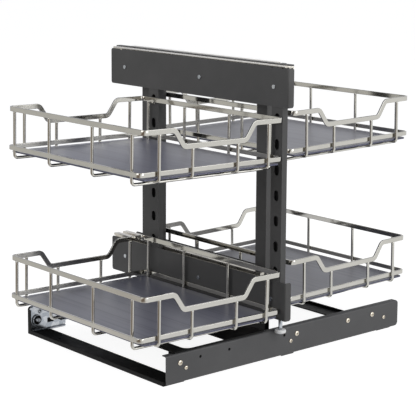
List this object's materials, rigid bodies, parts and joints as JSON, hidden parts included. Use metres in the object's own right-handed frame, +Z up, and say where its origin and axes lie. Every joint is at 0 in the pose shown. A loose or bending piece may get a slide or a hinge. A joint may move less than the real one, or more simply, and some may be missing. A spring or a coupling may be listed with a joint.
{
  "type": "blind corner organizer",
  "caption": "Corner cabinet organizer: a floor base with a carriage that slides sideways and upright frames that pull forward, hung with wire baskets over grey boards.",
  "frame": {"origin": "floor level, midway between the four screw holes of the floor strips", "axes": "+X along the front plate towards the side the carriage slides to, +Y from the front to the rear, +Z up"},
  "size_m": [0.7636, 0.574, 0.5752],
  "materials": {
    "frame_paint": "satin dark grey powder coat",
    "plate_paint": "satin grey powder coat",
    "black_paint": "satin black powder coat",
    "zinc": "bluish zinc plating",
    "bolt_nickel": "warm nickel plating",
    "chrome": "bright chrome plating",
    "panel_board": "board with a grey laminate",
    "nylon": "white nylon"
  },
  "bodies": {
    "base": {"front_plate_left": "plate_paint", "front_plate_right": "plate_paint", "front_rail": "black_paint", "left_floor_strip": "black_paint", "right_floor_strip": "black_paint", "left_rear_bracket": "zinc", "right_rear_bracket": "zinc", "rear_rail": "zinc", "base_bolts": "bolt_nickel"},
    "carriage": {"carriage_deck": "black_paint", "carriage_beam": "black_paint", "front_column": "frame_paint", "rear_column": "frame_paint", "column_tie_bar": "frame_paint", "glide_shoes": "nylon", "left_top_slide_outer": "zinc", "left_bottom_slide_outer": "zinc", "right_top_slide_outer": "zinc", "right_bottom_slide_outer": "zinc", "column_rivets": "zinc"},
    "left_slide_middles": {"left_top_slide_middle": "zinc", "left_bottom_slide_middle": "zinc"},
    "right_slide_middles": {"right_top_slide_middle": "zinc", "right_bottom_slide_middle": "zinc"},
    "left_frame": {"left_top_slide_inner": "zinc", "left_bottom_slide_inner": "zinc", "left_top_cover": "frame_paint", "left_bottom_cover": "frame_paint", "left_front_post": "frame_paint", "left_rear_post": "frame_paint", "left_cover_rivets": "zinc", "roller_pin": "zinc", "upper_left_top_rail": "chrome", "upper_left_bottom_rail": "chrome", "upper_left_wires": "chrome", "upper_left_panel": "panel_board", "upper_left_hooks": "chrome", "lower_left_top_rail": "chrome", "lower_left_bottom_rail": "chrome", "lower_left_wires": "chrome", "lower_left_panel": "panel_board", "lower_left_hooks": "chrome"},
    "right_frame": {"right_top_slide_inner": "zinc", "right_bottom_slide_inner": "zinc", "right_top_cover": "frame_paint", "right_bottom_cover": "frame_paint", "right_front_post": "frame_paint", "right_rear_post": "frame_paint", "right_cover_rivets": "zinc", "upper_right_top_rail": "chrome", "upper_right_bottom_rail": "chrome", "upper_right_wires": "chrome", "upper_right_panel": "panel_board", "upper_right_hooks": "chrome", "lower_right_top_rail": "chrome", "lower_right_bottom_rail": "chrome", "lower_right_wires": "chrome", "lower_right_panel": "panel_board", "lower_right_hooks": "chrome"},
    "roller": {"guide_roller": "nylon"}
  },
  "joints": [
    {"name": "carriage_slide", "type": "slide", "parent": "base", "child": "carriage", "axis": [1, 0, 0], "range_m": [0, 0.22]},
    {"name": "left_frame_pull", "type": "slide", "parent": "carriage", "child": "left_frame", "axis": [0, -1, 0], "range_m": [0, 0.48]},
    {"name": "left_slide_middle_travel", "type": "slide", "parent": "carriage", "child": "left_slide_middles", "axis": [0, -1, 0], "range_m": [0, 0.24]},
    {"name": "right_frame_pull", "type": "slide", "parent": "carriage", "child": "right_frame", "axis": [0, -1, 0], "range_m": [0, 0.41]},
    {"name": "right_slide_middle_travel", "type": "slide", "parent": "carriage", "child": "right_slide_middles", "axis": [0, -1, 0], "range_m": [0, 0.205]},
    {"name": "guide_roller_spin", "type": "hinge", "parent": "left_frame", "child": "roller", "pos_m": [-0.028, -0.236, 0.057], "axis": [0, 0, 1], "continuous": true}
  ],
  "couplings": [
    {"joint": "left_slide_middle_travel", "follows": "left_frame_pull", "ratio": 0.5},
    {"joint": "right_slide_middle_travel", "follows": "right_frame_pull", "ratio": 0.5}
  ]
}
